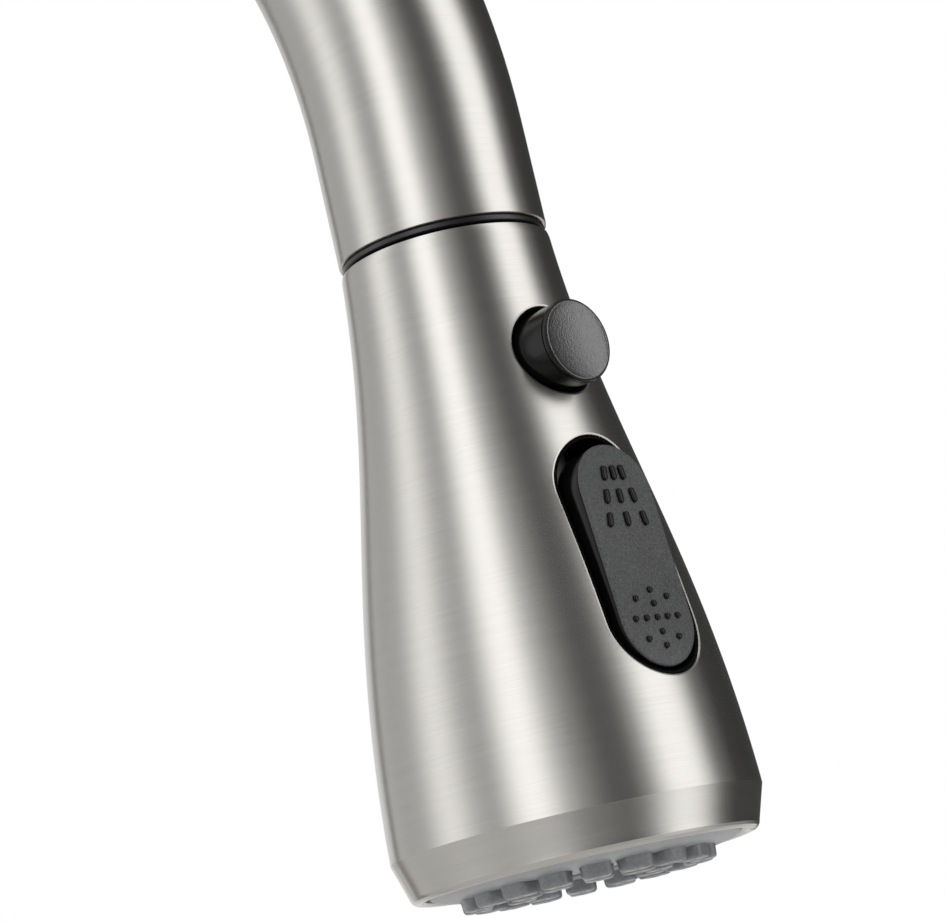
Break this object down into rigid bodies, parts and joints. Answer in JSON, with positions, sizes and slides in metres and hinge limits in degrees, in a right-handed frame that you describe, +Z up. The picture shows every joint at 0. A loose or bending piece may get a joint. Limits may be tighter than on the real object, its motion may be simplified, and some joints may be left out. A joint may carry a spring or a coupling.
{
  "type": "pull down kitchen faucet",
  "caption": "Deck-mounted single-lever kitchen faucet with a swivelling gooseneck spout and a flared spray head that pulls down on a hose.",
  "frame": {"origin": "on the body's axis at the top face of the deck it is mounted on", "axes": "+Z up; at rest the spout reaches towards -Y, the user, and the lever's valve points along +X"},
  "size_m": [0.0855, 0.2473, 0.4623],
  "materials": {
    "brushed_nickel": "brushed nickel plating with a fine grain around each turned form",
    "brass": "machined",
    "steel": "bright",
    "black_plastic": "moulded, satin on faces and glossy on side walls",
    "hose_jacket": "braided nylon",
    "grey_plastic": "moulded",
    "white_plastic": "moulded acetal",
    "rubber": "moulded",
    "silicone": "translucent grey silicone",
    "ceramic": "lapped ceramic"
  },
  "bodies": {
    "base": {"base_gasket": "rubber", "base_flange": "brushed_nickel", "threaded_shank": "brass", "rubber_washer": "rubber", "clamp_plate": "steel", "mounting_nut": "brass", "body_casting": "brushed_nickel", "hot_inlet": "brass", "cold_inlet": "brass", "mixed_outlet": "brass", "swivel_bush_lower": "white_plastic", "swivel_bush_upper": "white_plastic", "port_seal": "rubber", "cartridge_base": "white_plastic", "cartridge_housing": "white_plastic", "fixed_disc": "ceramic", "cartridge_nut": "brass", "bonnet_ring": "brushed_nickel"},
    "spout": {"spout_tube": "brushed_nickel", "spout_trim_ring": "brushed_nickel", "spout_seal_lower": "rubber", "spout_seal_upper": "rubber", "spout_retaining_clip": "steel", "dock_insert": "black_plastic", "hose_run": "hose_jacket", "hose_connector": "brass"},
    "hose": {"hose_end": "hose_jacket", "hose_nut": "brass"},
    "spray_head": {"dock_collar": "black_plastic", "head_shell": "brushed_nickel", "head_core": "white_plastic", "inlet_filter": "steel", "check_valve": "white_plastic", "button_sleeve": "black_plastic", "button_spring": "steel", "rocker_pin": "steel", "rocker_bezel": "black_plastic", "nozzle_pad": "silicone", "spray_face": "grey_plastic", "face_seal": "rubber", "aerator": "grey_plastic", "aerator_screen": "steel"},
    "button": {"round_button": "black_plastic"},
    "spray_rocker": {"rocker": "black_plastic"},
    "diverter": {"diverter_spool": "grey_plastic"},
    "valve_rotor": {"stem_rotor": "grey_plastic", "lever_pivot_pin": "steel"},
    "handle": {"lever_stem": "steel", "handle_hub": "brushed_nickel", "lever": "brushed_nickel", "set_screw": "steel", "index_plug": "rubber"},
    "mixing_disc": {"moving_disc": "ceramic", "disc_carrier": "white_plastic"}
  },
  "joints": [
    {"name": "spout_swivel", "type": "hinge", "parent": "base", "child": "spout", "pos_m": [0, 0, 0.15], "axis": [0, 0, 1], "continuous": true},
    {"name": "pull_out", "type": "slide", "parent": "spout", "child": "hose", "axis": [0, -0.3229, -0.9464], "range_m": [0, 0.2]},
    {"name": "head_swivel", "type": "hinge", "parent": "hose", "child": "spray_head", "pos_m": [0, -0.17224, 0.30357], "axis": [0, -0.3229, -0.9464], "continuous": true},
    {"name": "button_press", "type": "slide", "parent": "spray_head", "child": "button", "axis": [0, 0.9464, -0.3229], "range_m": [0, 0.003], "stiffness_N_per_m": 800, "deforming": ["button_spring"]},
    {"name": "rocker_tilt", "type": "hinge", "parent": "spray_head", "child": "spray_rocker", "pos_m": [0, -0.20258, 0.26279], "axis": [-1, 0, 0], "range_deg": [0, 9.4]},
    {"name": "diverter_slide", "type": "slide", "parent": "spray_head", "child": "diverter", "axis": [0, -0.3229, -0.9464], "range_m": [0, 0.001]},
    {"name": "handle_turn", "type": "hinge", "parent": "base", "child": "valve_rotor", "pos_m": [0.034, 0, 0.085], "axis": [1, 0, 0], "range_deg": [-45, 45]},
    {"name": "handle_lift", "type": "hinge", "parent": "valve_rotor", "child": "handle", "pos_m": [0.034, 0, 0.085], "axis": [0, 1, 0], "range_deg": [0, 25]},
    {"name": "disc_slide", "type": "slide", "parent": "valve_rotor", "child": "mixing_disc", "axis": [0, 0, 1], "range_m": [0, 0.0028]}
  ],
  "couplings": [
    {"joint": "diverter_slide", "follows": "rocker_tilt", "m_per_rad": 0.003697},
    {"joint": "disc_slide", "follows": "handle_lift", "m_per_rad": 0.0062}
  ]
}
